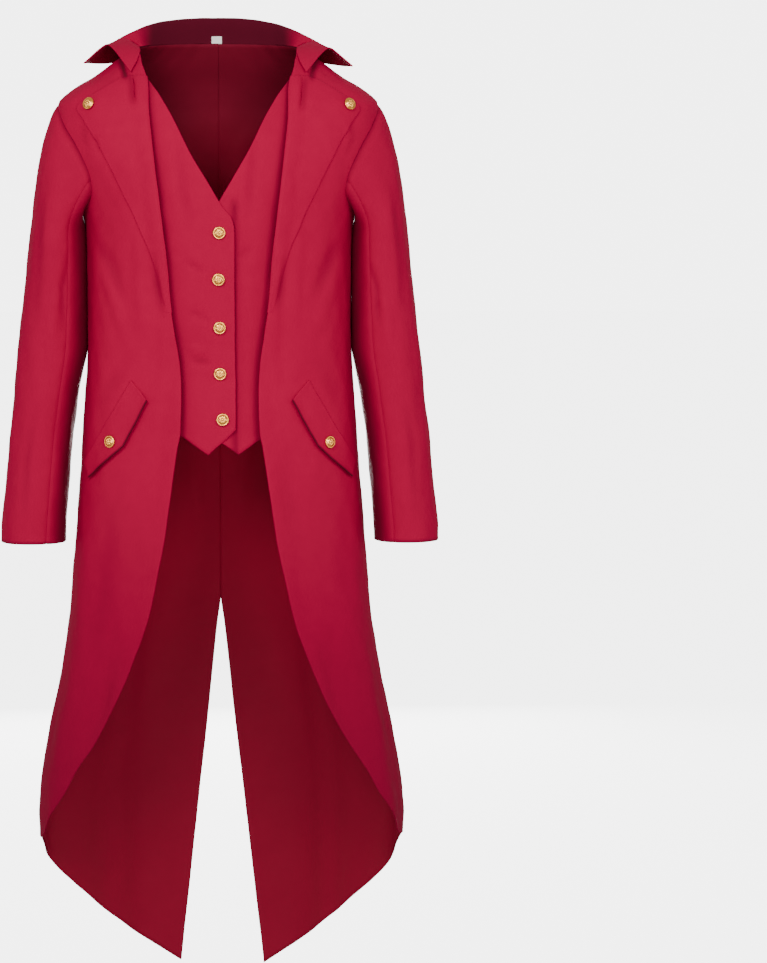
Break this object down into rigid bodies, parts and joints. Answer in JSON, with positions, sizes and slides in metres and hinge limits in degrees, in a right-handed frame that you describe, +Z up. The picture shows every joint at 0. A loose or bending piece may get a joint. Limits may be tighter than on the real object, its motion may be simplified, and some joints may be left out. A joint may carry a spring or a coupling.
{
  "type": "tailcoat",
  "caption": "Long crimson costume tailcoat with lapels buttoned back, a sewn-in waistcoat front, flying collar, half-belt, slanted flaps and pointed tails, filled out with no wearer.",
  "frame": {"origin": "centre of the neck opening, level with the neck end of the shoulder seams, where the wearer's shoulders carry the coat", "axes": "+Z up, the coat's front faces -Y, +X toward the wearer's left"},
  "size_m": [0.6078, 0.2737, 1.3665],
  "materials": {
    "coat_cloth": "crimson polyester twill with a low sheen",
    "lining_cloth": "dark wine lining",
    "button_metal": "pale gold domed buttons",
    "label_tape": "blank white woven tape"
  },
  "bodies": {
    "root": {"front_left": "coat_cloth", "front_right": "coat_cloth", "back_left": "coat_cloth", "back_right": "coat_cloth", "back_lining_left": "lining_cloth", "back_lining_right": "lining_cloth", "vest_left": "coat_cloth", "vest_right": "coat_cloth", "lapel_left": "coat_cloth", "lapel_right": "coat_cloth", "pocket_flap_left": "coat_cloth", "pocket_flap_right": "coat_cloth", "back_belt": "coat_cloth", "sleeve_top_left": "coat_cloth", "sleeve_under_left": "coat_cloth", "sleeve_top_right": "coat_cloth", "sleeve_under_right": "coat_cloth", "collar": "coat_cloth", "neck_label": "label_tape", "button_lapel_left": "button_metal", "button_lapel_right": "button_metal", "button_flap_left": "button_metal", "button_flap_right": "button_metal", "button_vest_1": "button_metal", "button_vest_2": "button_metal", "button_vest_3": "button_metal", "button_vest_4": "button_metal", "button_vest_5": "button_metal", "button_belt_left": "button_metal", "button_belt_right": "button_metal", "button_cuff_left_1": "button_metal", "button_cuff_left_2": "button_metal", "button_cuff_left_3": "button_metal", "button_cuff_right_1": "button_metal", "button_cuff_right_2": "button_metal", "button_cuff_right_3": "button_metal"}
  },
  "joints": []
}
